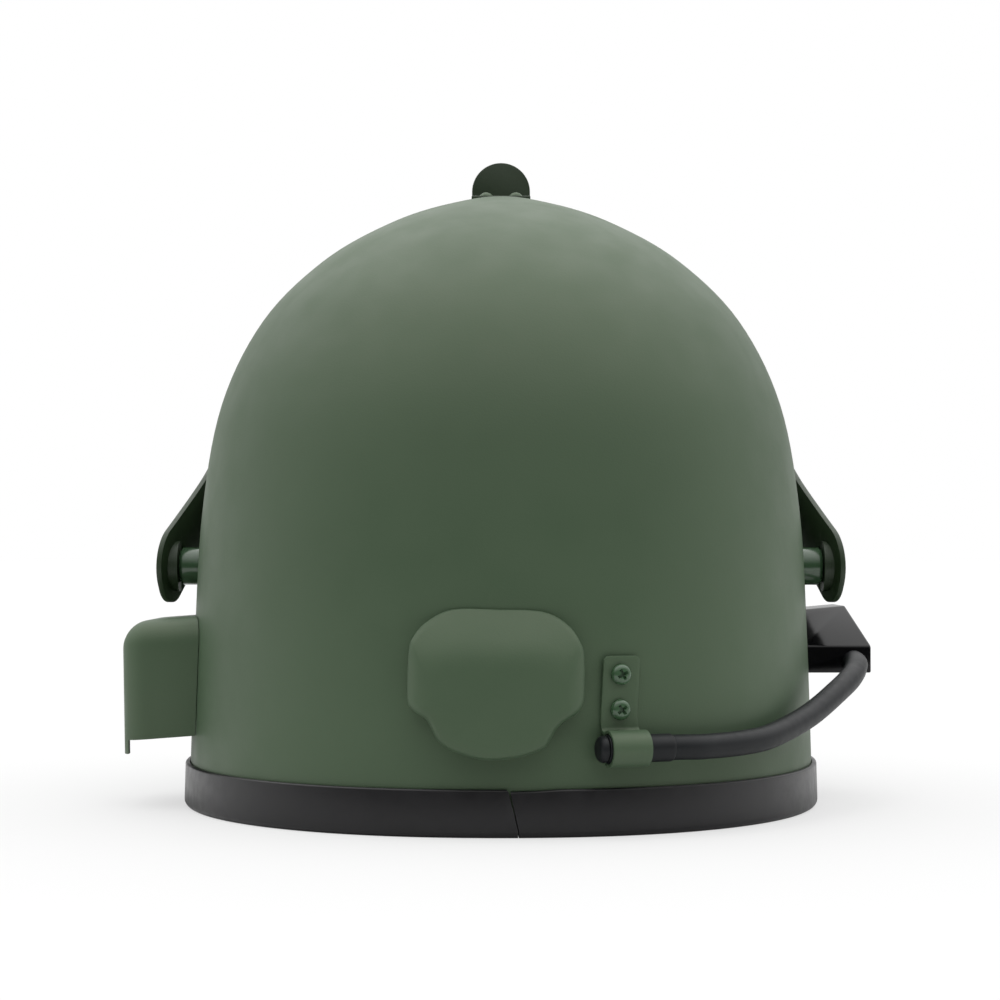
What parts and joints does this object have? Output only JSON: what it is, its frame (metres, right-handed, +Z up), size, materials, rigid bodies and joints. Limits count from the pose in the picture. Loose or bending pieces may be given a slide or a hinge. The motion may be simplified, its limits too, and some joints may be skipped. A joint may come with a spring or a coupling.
{
  "type": "tactical helmet with lifting visor",
  "caption": "Hard domed metal helmet with rubber-edged rim and face opening, side guard, clipped cable and a hinged visor with a framed window.",
  "frame": {"origin": "middle of the helmet's box, on the ground that the rubber rim stands on", "axes": "+Z up, the wearer looks along -Y, the wearer's right hand is on the -X side"},
  "size_m": [0.3124, 0.3219, 0.2754],
  "materials": {
    "matt_paint": "matt olive green paint on metal",
    "gloss_paint": "glossy green paint on metal",
    "dark_paint": "dark satin olive paint on metal",
    "rubber": "matt black rubber",
    "black_plastic": "satin black moulded plastic",
    "clear_glass": "clear, faintly green window"
  },
  "bodies": {
    "helmet": {"shell": "matt_paint", "rim_edging": "rubber", "rear_boss": "matt_paint", "crown_catch": "dark_paint", "catch_rivet_left": "matt_paint", "catch_rivet_right": "matt_paint", "side_guard": "matt_paint", "connector_box": "black_plastic", "cable": "rubber", "cable_sleeve": "rubber", "cable_end_plug": "rubber", "cable_clip": "matt_paint", "clip_screw_upper": "gloss_paint", "clip_screw_lower": "gloss_paint", "pivot_shaft_left": "gloss_paint", "pivot_shaft_right": "gloss_paint", "pivot_screw_left": "dark_paint", "pivot_screw_right": "dark_paint"},
    "visor": {"visor_plate": "matt_paint", "window_frame": "dark_paint", "window_gasket": "rubber", "window_glass": "clear_glass", "frame_screw_1": "gloss_paint", "frame_screw_2": "gloss_paint", "frame_screw_3": "gloss_paint", "frame_screw_4": "gloss_paint", "frame_screw_5": "gloss_paint", "frame_screw_6": "gloss_paint", "frame_screw_7": "gloss_paint", "frame_screw_8": "gloss_paint"}
  },
  "joints": [
    {"name": "visor_hinge", "type": "hinge", "parent": "helmet", "child": "visor", "pos_m": [0, 0.0127, 0.0988], "axis": [-1, 0, 0], "range_deg": [0, 52]}
  ]
}
